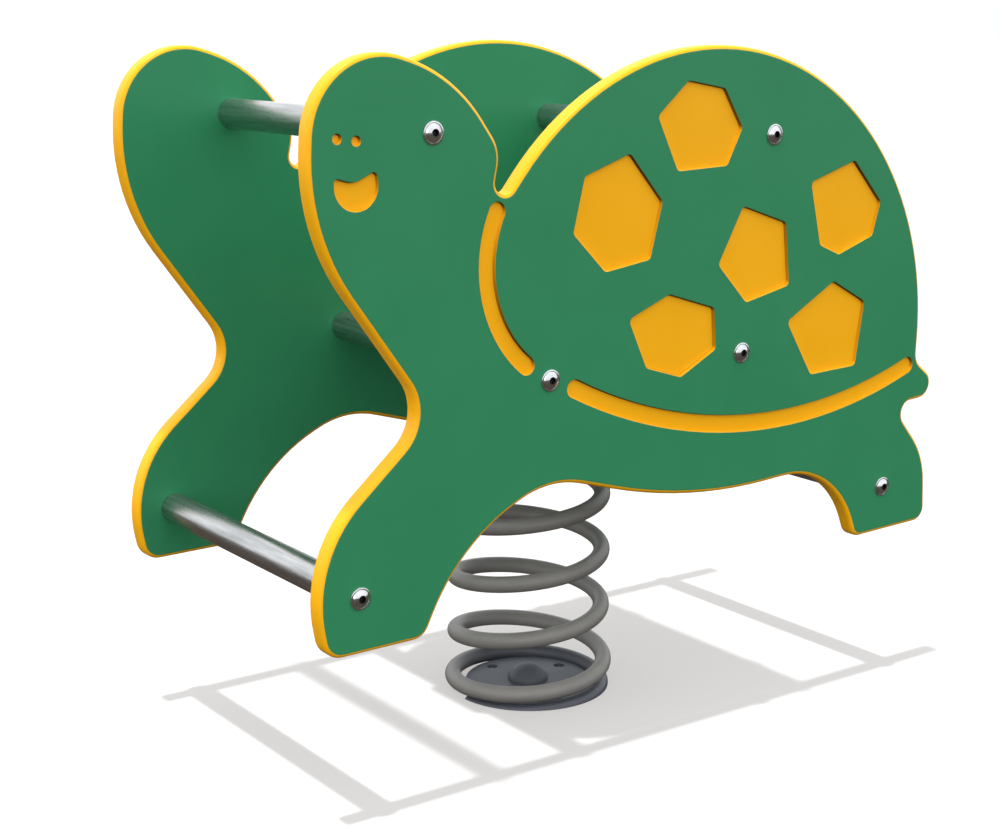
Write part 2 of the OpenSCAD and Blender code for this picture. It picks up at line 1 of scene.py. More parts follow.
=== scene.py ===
from math import cos, pi, radians, sin, sqrt, tau

import bmesh
import bpy
from mathutils import Matrix, Vector


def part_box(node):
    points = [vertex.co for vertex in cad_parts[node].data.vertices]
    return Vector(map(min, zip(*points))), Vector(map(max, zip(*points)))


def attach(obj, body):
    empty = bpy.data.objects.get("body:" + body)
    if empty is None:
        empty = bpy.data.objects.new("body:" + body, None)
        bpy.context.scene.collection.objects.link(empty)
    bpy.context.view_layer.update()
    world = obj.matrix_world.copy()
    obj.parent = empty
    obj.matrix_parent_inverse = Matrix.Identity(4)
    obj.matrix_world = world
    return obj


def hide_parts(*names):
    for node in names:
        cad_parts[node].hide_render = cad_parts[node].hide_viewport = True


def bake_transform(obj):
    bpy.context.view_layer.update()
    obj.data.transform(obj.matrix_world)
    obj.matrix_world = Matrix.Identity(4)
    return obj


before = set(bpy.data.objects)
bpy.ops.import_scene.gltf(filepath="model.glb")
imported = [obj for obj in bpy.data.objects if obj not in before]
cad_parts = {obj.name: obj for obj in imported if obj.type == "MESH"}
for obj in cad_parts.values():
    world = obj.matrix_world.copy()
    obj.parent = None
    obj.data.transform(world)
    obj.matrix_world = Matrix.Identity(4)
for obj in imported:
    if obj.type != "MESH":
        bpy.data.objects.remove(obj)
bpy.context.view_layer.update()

# Camera
# Stands at the rider's front left, a little higher than the handle bar, and
# looks slightly down on the rider with a short telephoto lens.
camera = bpy.data.objects.new("camera", bpy.data.cameras.new("camera"))
camera.location = (1.2781, 1.7184, 0.8185)
view_direction = Vector((-0.5695, -0.7921, -0.2195))
camera.rotation_euler = view_direction.to_track_quat("-Z", "Y").to_euler()
camera.data.lens = 65.38
camera.data.clip_end = 200
bpy.context.collection.objects.link(camera)
bpy.context.scene.camera = camera

# Base plate
# A round steel plate that lies on the ground inside the spring, painted dark blue-grey,
# with four anchor holes and two tapped ones. Its rim is turned and lightly rounded.
plate_round = 0.0012
plate_segments = 3
base_paint = ((0.070, 0.080, 0.098, 1), (0.092, 0.103, 0.124, 1))


def flat_face_loops(node, axis, top):
    """Closed edge loops of a solid's top or bottom face, as points, the longest first."""
    solid = bmesh.new()
    solid.from_mesh(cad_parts[node].data)
    bmesh.ops.remove_doubles(solid, verts=solid.verts, dist=2e-6)
    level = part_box(node)[1 if top else 0][axis]
    flat = {
        f for f in solid.faces
        if abs(f.normal[axis]) > 0.999 and abs(f.calc_center_median()[axis] - level) < 1e-5
    }
    rim = [e for e in solid.edges if len(flat.intersection(e.link_faces)) == 1]
    left = set(rim)
    loops = []
    for first in rim:
        if first not in left:
            continue
        left.discard(first)
        loop = list(first.verts)
        while loop[0] is not loop[-1]:
            edge = next(e for e in loop[-1].link_edges if e in left)
            left.discard(edge)
            loop.append(edge.other_vert(loop[-1]))
        loops.append([v.co.copy() for v in loop[:-1]])
    solid.free()

    def girth(loop):
        return sum((a - b).length for a, b in zip(loop, loop[1:] + loop[:1]))

    return sorted(loops, key=girth, reverse=True)


def middle(loop):
    return sum(loop, Vector()) / len(loop)


def inset_along(bm, face, steps):
    """Insets a face again and again by steps of (width inwards, height outwards)."""
    for width, height in steps:
        bmesh.ops.inset_individual(
            bm, faces=[face], thickness=width, depth=height, use_even_offset=True
        )


def quarter_round(radius, segments, wall_first):
    """Steps of a quarter circle, from a wall over to a flat face or the other way round."""
    angles = [pi / 2 * k / segments for k in range(segments + 1)]
    rises = [radius * sin(a) for a in angles]
    runs = [radius * (1 - cos(a)) for a in angles]
    if not wall_first:
        rises, runs = runs, rises
    return [
        (runs[k + 1] - runs[k], rises[k + 1] - rises[k]) for k in range(segments)
    ]


flat_rim = 0.0003


def mill_pocket(bm, face, side, axis, depth, shade):
    """Sinks a face into its plate with a rounded lip; walls that face down or forwards get painted shade.
    """
    lip, lip_segments = 0.0006, 3
    fillet, fillet_segments = 0.0005, 4
    wall_draft, floor_shade = 0.0001, 0.001
    forward_shade, down_shade, foot_share = 0.5, 0.9, 0.5
    face.normal_update()
    if face.normal.dot(side) < 0:
        face.normal_flip()
    down = [(flat_rim, 0)] + quarter_round(lip, lip_segments, False)
    down += [(wall_draft, depth - lip - fillet)]
    down += quarter_round(fillet, fillet_segments, True) + [(flat_rim, 0)]
    before = set(bm.verts)
    inset_along(bm, face, [(width, -height) for width, height in down])
    bm.normal_update()
    # Painted shade: new wall vertices that face down or forwards get a darker value.
    for v in bm.verts:
        if v not in before:
            inwards = v.normal.copy()
            inwards[axis] = 0
            inwards.normalize()
            v[shade] = min(max(forward_shade * inwards.x - down_shade * inwards.z, 0), 1)
    for v in face.verts:
        v[shade] *= foot_share
    inset_along(bm, face, [(floor_shade, 0)])
    for v in face.verts:
        v[shade] = 0


def rounded_plate(node, axis, edge_round, segments, pocket_depth=0):
    """A flat plate with the outline, holes and pockets of its solid and rounded edges."""
    same_spot = 1e-4
    up = Vector((0, 0, 0))
    up[axis] = 1
    low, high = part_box(node)
    thickness = high[axis] - low[axis]
    top_loops = flat_face_loops(node, axis, True)
    bottom_loops = flat_face_loops(node, axis, False)
    bm = bmesh.new()
    # A vertex value that carries painted shade on the walls of milled pockets.
    shade = bm.verts.layers.float.new("painted_pocket_shade")
    outline = [bm.verts.new(p - up * edge_round) for p in top_loops[0]]
    top = bm.faces.new(outline)
    walls = bmesh.ops.extrude_edge_only(bm, edges=top.edges[:])["geom"]
    below = [g for g in walls if isinstance(g, bmesh.types.BMVert)]
    bmesh.ops.translate(bm, verts=below, vec=-up * (thickness - 2 * edge_round))
    below_edges = [g for g in walls if isinstance(g, bmesh.types.BMEdge)]
    below_edges = [e for e in below_edges if all(v in below for v in e.verts)]
    bottom = bmesh.ops.edgeloop_fill(bm, edges=below_edges)["faces"][0]
    steps = quarter_round(edge_round, segments, True) + [(flat_rim, 0)]
    rims = []
    for face, side in ((top, up), (bottom, -up)):
        face.normal_update()
        if face.normal.dot(side) < 0:
            face.normal_flip()
        inset_along(bm, face, steps)
        rims.append(face.edges[:])
        bmesh.ops.delete(bm, geom=[face], context="FACES_ONLY")
    holes_above = [[bm.verts.new(p) for p in loop] for loop in top_loops[1:]]
    holes_below = [[bm.verts.new(p) for p in loop] for loop in bottom_loops[1:]]

    def ring(verts):
        return [bm.edges.new((a, b)) for a, b in zip(verts, verts[1:] + verts[:1])]

    def across(verts):
        spot = middle([v.co for v in verts])
        spot[axis] = 0
        return spot

    def facing(verts, others):
        return [o for o in others if (across(o) - across(verts)).length < same_spot]

    pockets = []
    sides = ((holes_above, holes_below, 0), (holes_below, holes_above, 1))
    rings = {}
    for mine, others, rim_number in sides:
        for verts in mine:
            if facing(verts, others):
                rings[id(verts)] = ring(verts)
                rims[rim_number] += rings[id(verts)]
            else:
                pockets.append((bm.faces.new(verts), rim_number))
                rims[rim_number] += pockets[-1][0].edges[:]
    for verts in holes_above:
        opposite = facing(verts, holes_below)
        if opposite:
            bmesh.ops.bridge_loops(bm, edges=rings[id(verts)] + rings[id(opposite[0])])
    for rim, side in zip(rims, (up, -up)):
        bmesh.ops.triangle_fill(bm, use_beauty=True, edges=rim, normal=side)
    for face, rim_number in pockets:
        mill_pocket(bm, face, (up, -up)[rim_number], axis, pocket_depth, shade)
    return bm


def add_piece(name, bm, body, nodes, material, sharp_angle=35):
    """Makes a finished bmesh a piece that rides on its body in place of its solids."""
    bmesh.ops.remove_doubles(bm, verts=bm.verts, dist=1e-6)
    bmesh.ops.recalc_face_normals(bm, faces=bm.faces)
    mesh = bpy.data.meshes.new(name)
    bm.to_mesh(mesh)
    bm.free()
    mesh.materials.append(material)
    mesh.shade_smooth()
    mesh.set_sharp_from_angle(angle=radians(sharp_angle))
    piece = bpy.data.objects.new(name, mesh)
    bpy.context.collection.objects.link(piece)
    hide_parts(*nodes)
    if body:
        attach(piece, body)
    return piece


def add_node(tree, kind, inputs=None, **settings):
    """Adds a shader node; an input is a value or the socket that feeds it."""
    made = tree.nodes.new(kind)
    for name, value in settings.items():
        setattr(made, name, value)
    for name, value in (inputs or {}).items():
        if isinstance(value, bpy.types.NodeSocket):
            tree.links.new(value, made.inputs[name])
        else:
            made.inputs[name].default_value = value
    return made


def new_material(name):
    """A material with a bare Principled BSDF and the Object coordinates beside it."""
    material = bpy.data.materials.new(name)
    material.use_nodes = True
    tree = material.node_tree
    shader = tree.nodes["Principled BSDF"]
    place = add_node(tree, "ShaderNodeTexCoord").outputs["Object"]
    return material, tree, shader, place


def new_group(name, inputs, outputs):
    """A shader group with float inputs, a Place vector and the named float outputs."""
    group = bpy.data.node_groups.new(name, "ShaderNodeTree")
    group.interface.new_socket("Place", in_out="INPUT", socket_type="NodeSocketVector")
    for socket, value in inputs.items():
        made = group.interface.new_socket(socket, in_out="INPUT", socket_type="NodeSocketFloat")
        made.default_value = value
    for socket in outputs:
        group.interface.new_socket(socket, in_out="OUTPUT", socket_type="NodeSocketFloat")
    return group, group.nodes.new("NodeGroupInput").outputs, group.nodes.new("NodeGroupOutput").inputs


fine_grain, given, gives = new_group(
    "fine grain", {"Grains per metre": 900, "Patches per metre": 14}, ["Grain", "Patch"]
)
grain_noise = add_node(fine_grain, "ShaderNodeTexNoise", {
    "Vector": given["Place"], "Scale": given["Grains per metre"], "Detail": 2, "Roughness": 0.55,
})
patch_noise = add_node(fine_grain, "ShaderNodeTexNoise", {
    "Vector": given["Place"], "Scale": given["Patches per metre"], "Detail": 4, "Roughness": 0.6,
})
patch_spread = add_node(fine_grain, "ShaderNodeMapRange", {
    "Value": patch_noise.outputs["Fac"], "From Min": 0.3, "From Max": 0.7,
})
fine_grain.links.new(grain_noise.outputs["Fac"], gives["Grain"])
fine_grain.links.new(patch_spread.outputs["Result"], gives["Patch"])


def use_group(tree, group, inputs):
    return add_node(tree, "ShaderNodeGroup", inputs, node_tree=group).outputs


def spread(tree, value, low, high):
    """Maps a 0 to 1 value onto a range."""
    made = add_node(tree, "ShaderNodeMapRange", {"Value": value, "To Min": low, "To Max": high})
    return made.outputs["Result"]


def mix_colours(tree, factor, first, second):
    """Mixes two colours, each a value or a socket, by a factor."""
    made = add_node(tree, "ShaderNodeMix", data_type="RGBA")
    sockets = (made.inputs[0], made.inputs[6], made.inputs[7])
    for socket, value in zip(sockets, (factor, first, second)):
        if isinstance(value, bpy.types.NodeSocket):
            tree.links.new(value, socket)
        else:
            socket.default_value = value
    return made.outputs[2]


def raise_grain(tree, shader, height, depth):
    bump = add_node(tree, "ShaderNodeBump", {"Height": height, "Strength": 1, "Distance": depth})
    tree.links.new(bump.outputs["Normal"], shader.inputs["Normal"])


def powder_coat(name, dark, light, roughness, grain_depth):
    """Baked powder paint on steel: fine orange peel and slightly uneven tone."""
    material, tree, shader, place = new_material(name)
    coat = use_group(tree, fine_grain, {"Place": place, "Grains per metre": 700, "Patches per metre": 22})
    tree.links.new(mix_colours(tree, coat["Patch"], dark, light), shader.inputs["Base Color"])
    tree.links.new(spread(tree, coat["Patch"], *roughness), shader.inputs["Roughness"])
    raise_grain(tree, shader, coat["Grain"], grain_depth)
    return material


plate_grey = powder_coat("plate grey paint", *base_paint, (0.38, 0.5), 0.00006)
base_plate = rounded_plate("base_plate", 2, plate_round, plate_segments)
add_piece("base_plate_turned", base_plate, "base", ["base_plate"], plate_grey)

# Centre bolt
# A plain hexagon bolt through the middle of the base plate, zinc plated; the cap hides it.
zinc_tones = ((0.30, 0.31, 0.32, 1), (0.45, 0.46, 0.47, 1))


def plated_steel(name, dark, light, roughness, grains):
    """Bright metal with a faint cloudiness and fine handling marks."""
    material, tree, shader, place = new_material(name)
    marks = use_group(tree, fine_grain, {
        "Place": place, "Grains per metre": grains, "Patches per metre": 120,
    })
    tree.links.new(mix_colours(tree, marks["Patch"], dark, light), shader.inputs["Base Color"])
    tree.links.new(spread(tree, marks["Grain"], *roughness), shader.inputs["Roughness"])
    raise_grain(tree, shader, marks["Grain"], 0.000008)
    shader.inputs["Metallic"].default_value = 1
    return material


zinc = plated_steel("zinc plate", *zinc_tones, (0.28, 0.5), 1400)


def finish_solid(node, material):
    """Gives a solid that is hidden in use its finish."""
    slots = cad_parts[node].data.materials
    slots.clear()
    slots.append(material)


finish_solid("centre_bolt", zinc)

# Centre cap
# A moulded plastic dome, blue-grey like the plate, pressed over the head of the centre
# bolt. It has a thin skirt that stands on the plate and a rounded shoulder.
cap_tones = ((0.066, 0.074, 0.088, 1), (0.082, 0.091, 0.108, 1))
cap_skirt = 0.0025


def spun(bm, profile, steps):
    """Turns a profile of (radius, height) points about the vertical axis."""
    verts = [bm.verts.new((radius, 0, height)) for radius, height in profile]
    edges = [bm.edges.new(pair) for pair in zip(verts, verts[1:])]
    bmesh.ops.spin(
        bm, geom=verts + edges, axis=(0, 0, 1), cent=(0, 0, 0),
        angle=tau, steps=steps, use_merge=True,
    )
    bmesh.ops.remove_doubles(bm, verts=bm.verts, dist=1e-7)


cap_low, cap_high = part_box("centre_cap")
cap_r = (cap_high.x - cap_low.x) / 2
cap_foot, cap_top = cap_low.z, cap_high.z
dome_h = cap_top - cap_foot - cap_skirt
dome_r = (cap_r ** 2 + dome_h ** 2) / (2 * dome_h)
cap_profile = [(0, cap_top)]
dome_rings = 14
for k in range(1, dome_rings + 1):
    r = cap_r * k / dome_rings
    cap_profile.append((r, cap_top - dome_r + sqrt(dome_r ** 2 - r ** 2)))
cap_profile += [(cap_r, cap_foot), (0, cap_foot)]
cap_mesh = bmesh.new()
spun(cap_mesh, cap_profile, 64)
cap_plastic, tree, shader, place = new_material("cap plastic")
grain = use_group(tree, fine_grain, {"Place": place, "Grains per metre": 1500, "Patches per metre": 40})
tree.links.new(mix_colours(tree, grain["Patch"], *cap_tones), shader.inputs["Base Color"])
tree.links.new(spread(tree, grain["Patch"], 0.42, 0.55), shader.inputs["Roughness"])
raise_grain(tree, shader, grain["Grain"], 0.00005)
add_piece("centre_cap_moulded", cap_mesh, "base", ["centre_cap"], cap_plastic)

# Lower clamp dogs and their bolts
# Two steel blocks that hold the closed end turn of the spring down on the base
# plate, painted with the plate; each has one blackened socket screw through it.
dog_ease = 0.0012
screw_ease = 0.0004
# Dark tones for the blackened dog screws, also painted shade inside the bolt sockets.
black_and_socket_shade_tones = ((0.030, 0.031, 0.034, 1), (0.055, 0.056, 0.060, 1))


def eased(node, width):
    """A copy of a solid, merged, with its sharp edges taken off."""
    bm = bmesh.new()
    bm.from_mesh(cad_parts[node].data)
    bmesh.ops.remove_doubles(bm, verts=bm.verts, dist=2e-6)
    bmesh.ops.dissolve_limit(bm, angle_limit=radians(0.5), verts=bm.verts, edges=bm.edges)
    sharp = [e for e in bm.edges if e.calc_face_angle(0) > radians(38)]
    bmesh.ops.bevel(
        bm, geom=sharp, offset=width, offset_type="OFFSET", affect="EDGES",
        segments=2, profile=0.5, material=-1, clamp_overlap=True,
    )
    return bm


black_steel_and_socket_shade = plated_steel("blackened steel and socket shade", *black_and_socket_shade_tones, (0.3, 0.5), 1400)
add_piece("lower_clamp_dogs_eased", eased("lower_clamp_dogs", dog_ease), "base",
          ["lower_clamp_dogs"], plate_grey)
add_piece("lower_dog_bolts_eased", eased("lower_dog_bolts", screw_ease), "base",
          ["lower_dog_bolts"], black_steel_and_socket_shade)

# Spring
# One length of 20 mm spring wire, wound to the right, powder coated warm grey, with closed end
# turns ground flat and darkened as painted shade. Clamped at both ends; built as two halves that meet
# halfway up.
wire_r = 0.010
wind_r = 0.090
flare = 0.005
flare_start = 0.55
flare_turns = 1.2
turns = 7.6
closed_turns = 0.95
ramp_turns = 0.45
closed_pitch = 0.0206
tip_thickness = 0.004
tip_azimuth = radians(2)
steps_per_turn = 60
wire_facets = 32
spring_tones = ((0.190, 0.184, 0.172, 1), (0.222, 0.215, 0.200, 1))
# Dark blue-grey mixed onto the end turns as painted shade under the coils.
end_turn_shade_tone = (0.060, 0.066, 0.080, 1)
end_shade_fade = 0.2
spring_low, spring_high = (corner.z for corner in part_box("spring"))
wire_start = spring_low + tip_thickness - wire_r
open_turns = turns - 2 * closed_turns - ramp_turns
pitch_gain = (spring_low + spring_high - 2 * wire_start - closed_pitch * turns) / open_turns


def wire_height(turn):
    """Height of the wire's middle after so many turns."""
    def gained(t):
        ramp = min(max(t - closed_turns, 0), ramp_turns)
        return ramp * ramp / (2 * ramp_turns) + max(t - closed_turns - ramp_turns, 0)
    gain = gained(turn) if turn < turns / 2 else open_turns - gained(turns - turn)
    return wire_start + closed_pitch * turn + pitch_gain * gain


def wire_reach(turn):
    """Radius of the wire's middle after so many turns; it swells over the end turns."""
    swell = min(max((min(turn, turns - turn) - flare_start) / flare_turns, 0), 1)
    return wind_r + flare * (1 - cos(tau * swell)) / 2


def end_shade_amount(turn):
    """1 on the end turns that carry painted shade, 0 on the coils between them."""
    return min(max((closed_turns - min(turn, turns - turn)) / end_shade_fade, 0), 1)


def wound_wire(first_turn, last_turn, ground_z, outwards):
    """A stretch of the spring, wound step by step from one ring and ground flat at its end."""
    bm = bmesh.new()
    count = round((last_turn - first_turn) * steps_per_turn)
    stand = Matrix.Rotation(tip_azimuth + tau * first_turn, 4, "Z")
    stand @= Matrix.Translation((wire_reach(first_turn), 0, wire_height(first_turn)))
    stand @= Matrix.Rotation(pi / 2, 4, "X")
    bmesh.ops.create_circle(bm, segments=wire_facets, radius=wire_r, matrix=stand)
    end_shade_layer = bm.verts.layers.float.new("painted_end_shade")
    for v in bm.verts:
        v[end_shade_layer] = end_shade_amount(first_turn)
    ends = [bm.edges[:]]
    ring = bm.verts[:] + bm.edges[:]
    for k in range(count):
        here = first_turn + (last_turn - first_turn) * k / count
        there = first_turn + (last_turn - first_turn) * (k + 1) / count
        rise = wire_height(there) - wire_height(here)
        ring = bmesh.ops.spin(
            bm, geom=ring, axis=(0, 0, 1), cent=(0, 0, 0), dvec=(0, 0, rise),
            angle=tau * (there - here), steps=1,
        )["geom_last"]
        azimuth = tip_azimuth + tau * there
        outwards_by = wire_reach(there) - wire_reach(here)
        ring_verts = [g for g in ring if isinstance(g, bmesh.types.BMVert)]
        bmesh.ops.translate(
            bm, verts=ring_verts, vec=(outwards_by * cos(azimuth), outwards_by * sin(azimuth), 0),
        )
        for v in ring_verts:
            v[end_shade_layer] = end_shade_amount(there)
    ends.append([g for g in ring if isinstance(g, bmesh.types.BMEdge)])
    for end in ends:
        bmesh.ops.edgeloop_fill(bm, edges=end)
    cut = bmesh.ops.bisect_plane(
        bm, geom=bm.verts[:] + bm.edges[:] + bm.faces[:], plane_co=(0, 0, ground_z),
        plane_no=(0, 0, outwards), clear_outer=True,
    )["geom_cut"]
    rim = [g for g in cut if isinstance(g, bmesh.types.BMEdge)]
    bmesh.ops.triangle_fill(bm, use_beauty=True, edges=rim, normal=(0, 0, outwards))
    return bm


spring_grey = powder_coat("spring grey paint", *spring_tones, (0.4, 0.52), 0.00007)
tree = spring_grey.node_tree
shader = tree.nodes["Principled BSDF"]
painted = shader.inputs["Base Color"].links[0].from_socket
# The end turns are mixed towards a dark tone as painted shade.
painted_end_shade = add_node(tree, "ShaderNodeAttribute", attribute_name="painted_end_shade").outputs["Fac"]
tree.links.new(mix_colours(tree, painted_end_shade, painted, end_turn_shade_tone), shader.inputs["Base Color"])
lower_coils = add_piece("spring_lower_coils", wound_wire(0, turns / 2, spring_low, -1), None,
                        ["spring"], spring_grey)
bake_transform(lower_coils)
upper_coils = add_piece("spring_upper_coils", wound_wire(turns / 2, turns, spring_high, 1), None,
                        ["spring"], spring_grey)
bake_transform(upper_coils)

# Upper clamp dogs and their bolts
# The same two blocks upside down under the top plate, painted with it, each with
# its blackened socket screw.
add_piece("upper_clamp_dogs_eased", eased("upper_clamp_dogs", dog_ease), "rider",
          ["upper_clamp_dogs"], plate_grey)
add_piece("upper_dog_bolts_eased", eased("upper_dog_bolts", screw_ease), "rider",
          ["upper_dog_bolts"], black_steel_and_socket_shade)

# Top plate and bar saddles
# A laser-cut steel plate on top of the spring, narrower at its two ends, and four short
# saddles welded on it that carry the seat bars. All of it is powder coated grey.
saddle_ease = 0.0008
add_piece("top_plate_cut", rounded_plate("top_plate", 2, plate_round, plate_segments), "rider",
          ["top_plate"], plate_grey)
add_piece("bar_saddles_eased", eased("bar_saddles", saddle_ease), "rider",
          ["bar_saddles"], plate_grey)

# Cross bars
# Six stainless tubes across the rider, brushed along their length; two carry the seat,
# one is the handle, two are foot rests and one holds the backrest.
bars = (
    "seat_front_bar", "seat_rear_bar", "handle_bar",
    "front_foot_bar", "rear_foot_bar", "backrest_bar",
)
bar_r = 0.0175
bar_wall = 0.0025
bar_chamfer = 0.0005
steel_tones = ((0.36, 0.37, 0.375, 1), (0.60, 0.61, 0.615, 1))
bar_steel, tree, shader, place = new_material("brushed bar steel")
stretch = add_node(tree, "ShaderNodeMapping", {"Vector": place, "Scale": (1, 0.05, 1)})
streaks = use_group(tree, fine_grain, {
    "Place": stretch.outputs["Vector"], "Grains per metre": 500, "Patches per metre": 260,
})
smudges = use_group(tree, fine_grain, {"Place": place, "Grains per metre": 420, "Patches per metre": 45})
tree.links.new(mix_colours(tree, streaks["Patch"], *steel_tones), shader.inputs["Base Color"])
tree.links.new(spread(tree, smudges["Grain"], 0.2, 0.42), shader.inputs["Roughness"])
raise_grain(tree, shader, streaks["Grain"], 0.0001)
shader.inputs["Metallic"].default_value = 1
for bar in bars:
    low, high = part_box(bar)
    half = (high.y - low.y) / 2
    wall_profile = [
        (bar_r - bar_wall, -half), (bar_r - bar_chamfer, -half), (bar_r, bar_chamfer - half),
        (bar_r, half - bar_chamfer), (bar_r - bar_chamfer, half), (bar_r - bar_wall, half),
        (bar_r - bar_wall, -half),
    ]
    tube = bmesh.new()
    spun(tube, wall_profile, 72)
    across = Matrix.Translation((low + high) / 2) @ Matrix.Rotation(pi / 2, 4, "X")
    bmesh.ops.transform(tube, matrix=across, verts=tube.verts)
    add_piece(bar + "_brushed", tube, "rider", [bar], bar_steel)

# Bar end plugs
# Turned steel plugs pressed into the bar ends and tapped for the panel bolts; out of
# sight once the panels are on.
plug_tones = ((0.3, 0.3, 0.3, 1), (0.4, 0.4, 0.4, 1))
plug_steel = plated_steel("turned plug steel", *plug_tones, (0.3, 0.5), 1200)
finish_solid("bar_end_plugs", plug_steel)

# Seat board
# A 19 mm sandwich board, green skins on a yellow core, routed to shape with the
# edges well rounded over; four bolts go down through it into the seat bars.
edge_round = 0.0055
edge_segments = 8
skin = 0.0002
skin_blur = 0.00005
green_tones = ((0.030, 0.232, 0.101, 1), (0.033, 0.247, 0.108, 1))
core_tones = ((0.93, 0.435, 0.004, 1), (0.97, 0.460, 0.006, 1))
# Dark brown mixed into the core on pocket walls as painted shade.
pocket_shade_tone = (0.06, 0.022, 0.001, 1)


def two_tone_board(name, node, axis):
    """Sandwich board: green within the skins of its two faces, yellow core between them."""
    material, tree, shader, place = new_material(name)
    low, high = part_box(node)
    half = (high[axis] - low[axis]) / 2
    parts = add_node(tree, "ShaderNodeSeparateXYZ", {"Vector": place})
    off = add_node(tree, "ShaderNodeMath", operation="SUBTRACT")
    tree.links.new(parts.outputs[axis], off.inputs[0])
    off.inputs[1].default_value = (low[axis] + high[axis]) / 2
    depth = add_node(tree, "ShaderNodeMath", operation="ABSOLUTE")
    tree.links.new(off.outputs[0], depth.inputs[0])
    in_skin = add_node(tree, "ShaderNodeMapRange", {
        "Value": depth.outputs[0],
        "From Min": half - skin - skin_blur, "From Max": half - skin + skin_blur,
    }).outputs["Result"]
    grain = use_group(tree, fine_grain, {"Place": place, "Grains per metre": 650, "Patches per metre": 9})
    green = mix_colours(tree, grain["Patch"], *green_tones)
    # The core is darkened on pocket walls by the painted shade value.
    pocket_shade = add_node(tree, "ShaderNodeAttribute", attribute_name="painted_pocket_shade").outputs["Fac"]
    core = mix_colours(tree, pocket_shade, mix_colours(tree, grain["Patch"], *core_tones), pocket_shade_tone)
    tree.links.new(mix_colours(tree, in_skin, core, green), shader.inputs["Base Color"])
    tree.links.new(spread(tree, grain["Patch"], 0.34, 0.42), shader.inputs["Roughness"])
    raise_grain(tree, shader, grain["Grain"], 0.00004)
    shader.inputs["Specular IOR Level"].default_value = 0.2
    return material


add_piece("seat_board_routed", rounded_plate("seat_board", 2, edge_round, edge_segments), "rider",
          ["seat_board"], two_tone_board("seat board", "seat_board", 2))

# Seat bolts and nuts
# Four long domed stainless bolts through seat, bars, saddles and top plate, with a
# hexagon nut under the plate.
bolt_d = 0.010
nut_ease = 0.0005
fastener_tones = ((0.55, 0.56, 0.58, 1), (0.72, 0.73, 0.75, 1))
bolt_steel = plated_steel("polished bolt steel", *fastener_tones, (0.12, 0.26), 900)


def domed_bolt(bm, d, shank, place):
    """Adds a bolt with a domed flange head and a hexagon socket; its head faces +Z of place."""
    flange_r, dome_r, flange_t, head_h = 1.2 * d, 0.96 * d, 0.2 * d, 0.55 * d
    rim_r, socket_r, socket_depth = 0.42 * d, 0.36 * d, 0.32 * d
    groove_depth, mouth_ease, head_rings = 0.05 * d, 0.02 * d, 10
    dome_h = head_h - flange_t
    ball_r = (dome_r ** 2 + dome_h ** 2) / (2 * dome_h)
    bolt = bmesh.new()
    profile = []
    for k in range(head_rings + 1):
        r = rim_r + (dome_r - rim_r) * k / head_rings
        profile.append((r, head_h - ball_r + sqrt(ball_r ** 2 - r ** 2)))
    profile += [
        (dome_r + 0.01 * d, flange_t - groove_depth), (dome_r + 0.06 * d, flange_t - groove_depth),
        (dome_r + 0.08 * d, flange_t - 0.005 * d), (flange_r - 0.07 * d, flange_t - 0.015 * d),
        (flange_r - 0.02 * d, flange_t - 0.045 * d), (flange_r, flange_t - 0.1 * d),
        (flange_r, 0.03 * d), (flange_r - 0.03 * d, 0),
        (d / 2, 0), (d / 2, -shank + 0.1 * d), (0.4 * d, -shank), (0, -shank),
    ]
    spun(bolt, profile, 48)
    mouth = [e for e in bolt.edges if e.is_boundary]
    # The socket's faces take the second material, a dark tone as painted shade in the hollow.
    for drop in (mouth_ease, socket_depth):
        made = bmesh.ops.extrude_edge_only(bolt, edges=mouth)["geom"]
        verts = [g for g in made if isinstance(g, bmesh.types.BMVert)]
        mouth = [g for g in made if isinstance(g, bmesh.types.BMEdge)]
        mouth = [e for e in mouth if all(v in verts for v in e.verts)]
        for v in verts:
            turn = Vector((1, 0)).angle_signed(v.co.xy) % (pi / 3) - pi / 6
            reach = socket_r * cos(pi / 6) / cos(turn)
            v.co.xy = v.co.xy.normalized() * reach
            v.co.z -= drop
        for f in (g for g in made if isinstance(g, bmesh.types.BMFace)):
            f.material_index = 1
    for f in bmesh.ops.edgeloop_fill(bolt, edges=mouth)["faces"]:
        f.material_index = 1
    bmesh.ops.transform(bolt, matrix=place, verts=bolt.verts)
    made = bpy.data.meshes.new("bolt")
    bolt.to_mesh(made)
    bolt.free()
    bm.from_mesh(made)
    bpy.data.meshes.remove(made)


seat_bolt_side = 0.028
seat_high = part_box("seat_board")[1]
bolts_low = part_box("seat_bolts")[0]
seat_bolts = bmesh.new()
for bar in ("seat_front_bar", "seat_rear_bar"):
    low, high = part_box(bar)
    for side in (-seat_bolt_side, seat_bolt_side):
        head = Matrix.Translation(((low.x + high.x) / 2, side, seat_high.z))
        domed_bolt(seat_bolts, bolt_d, seat_high.z - bolts_low.z, head)
domed = add_piece("seat_bolts_domed", seat_bolts, "rider", ["seat_bolts"], bolt_steel)
# The second material paints shade inside the bolt sockets.
domed.data.materials.append(black_steel_and_socket_shade)
add_piece("seat_nuts_eased", eased("seat_nuts", nut_ease), "rider", ["seat_nuts"], zinc)

# Backrest board
# The same sandwich board, standing on the rear of the seat between the panels.
add_piece("backrest_board_routed", rounded_plate("backrest_board", 0, edge_round, edge_segments), "rider",
          ["backrest_board"], two_tone_board("backrest board", "backrest_board", 0))

